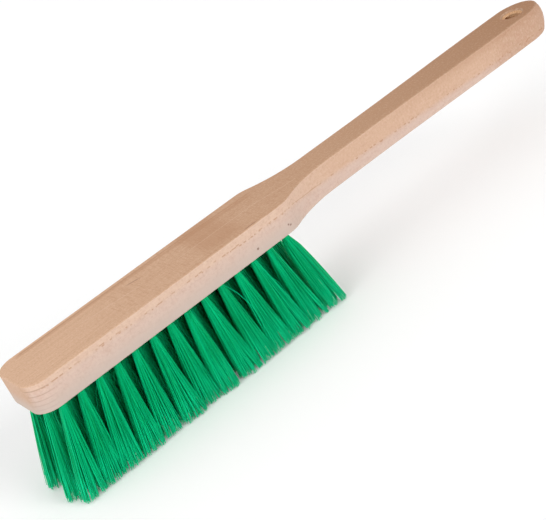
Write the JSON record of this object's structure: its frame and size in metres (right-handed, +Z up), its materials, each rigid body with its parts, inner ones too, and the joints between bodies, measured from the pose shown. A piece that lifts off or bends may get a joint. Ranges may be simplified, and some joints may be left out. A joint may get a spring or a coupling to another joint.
{
  "type": "car snow brush",
  "caption": "Wooden hand brush for sweeping snow off a car: a flat block with rows of stiff, fanned bristle tufts, narrowing through shoulders to a long handle with a hang hole.",
  "frame": {"origin": "under the middle of the overall length and width, level with the trimmed bristle tips that the brush stands on", "axes": "+X from the front of the block along the handle to its end, +Y across the block, +Z up out of the top of the wood"},
  "size_m": [0.4654, 0.0628, 0.08],
  "materials": {
    "beech": "planed and lightly sanded bare beech, fine lengthwise grain with short dark flecks on the sides",
    "bristle": "bright green drawn plastic filament with a satin sheen",
    "anchor_wire": "cut flat steel wire"
  },
  "bodies": {
    "root": {"wooden_body": "beech", "near_bristle_row": "bristle", "inner_bristle_rows": "bristle", "far_bristle_row": "bristle", "anchor_near_outer_1": "anchor_wire", "anchor_near_outer_2": "anchor_wire", "anchor_near_outer_3": "anchor_wire", "anchor_near_outer_4": "anchor_wire", "anchor_near_outer_5": "anchor_wire", "anchor_near_outer_6": "anchor_wire", "anchor_near_outer_7": "anchor_wire", "anchor_near_outer_8": "anchor_wire", "anchor_near_outer_9": "anchor_wire", "anchor_near_outer_10": "anchor_wire", "anchor_near_outer_11": "anchor_wire", "anchor_near_outer_12": "anchor_wire", "anchor_near_outer_13": "anchor_wire", "anchor_near_outer_14": "anchor_wire", "anchor_near_inner_1": "anchor_wire", "anchor_near_inner_2": "anchor_wire", "anchor_near_inner_3": "anchor_wire", "anchor_near_inner_4": "anchor_wire", "anchor_near_inner_5": "anchor_wire", "anchor_near_inner_6": "anchor_wire", "anchor_near_inner_7": "anchor_wire", "anchor_near_inner_8": "anchor_wire", "anchor_near_inner_9": "anchor_wire", "anchor_near_inner_10": "anchor_wire", "anchor_near_inner_11": "anchor_wire", "anchor_near_inner_12": "anchor_wire", "anchor_near_inner_13": "anchor_wire", "anchor_near_inner_14": "anchor_wire", "anchor_far_inner_1": "anchor_wire", "anchor_far_inner_2": "anchor_wire", "anchor_far_inner_3": "anchor_wire", "anchor_far_inner_4": "anchor_wire", "anchor_far_inner_5": "anchor_wire", "anchor_far_inner_6": "anchor_wire", "anchor_far_inner_7": "anchor_wire", "anchor_far_inner_8": "anchor_wire", "anchor_far_inner_9": "anchor_wire", "anchor_far_inner_10": "anchor_wire", "anchor_far_inner_11": "anchor_wire", "anchor_far_inner_12": "anchor_wire", "anchor_far_inner_13": "anchor_wire", "anchor_far_inner_14": "anchor_wire", "anchor_far_outer_1": "anchor_wire", "anchor_far_outer_2": "anchor_wire", "anchor_far_outer_3": "anchor_wire", "anchor_far_outer_4": "anchor_wire", "anchor_far_outer_5": "anchor_wire", "anchor_far_outer_6": "anchor_wire", "anchor_far_outer_7": "anchor_wire", "anchor_far_outer_8": "anchor_wire", "anchor_far_outer_9": "anchor_wire", "anchor_far_outer_10": "anchor_wire", "anchor_far_outer_11": "anchor_wire", "anchor_far_outer_12": "anchor_wire", "anchor_far_outer_13": "anchor_wire", "anchor_far_outer_14": "anchor_wire"}
  },
  "joints": []
}
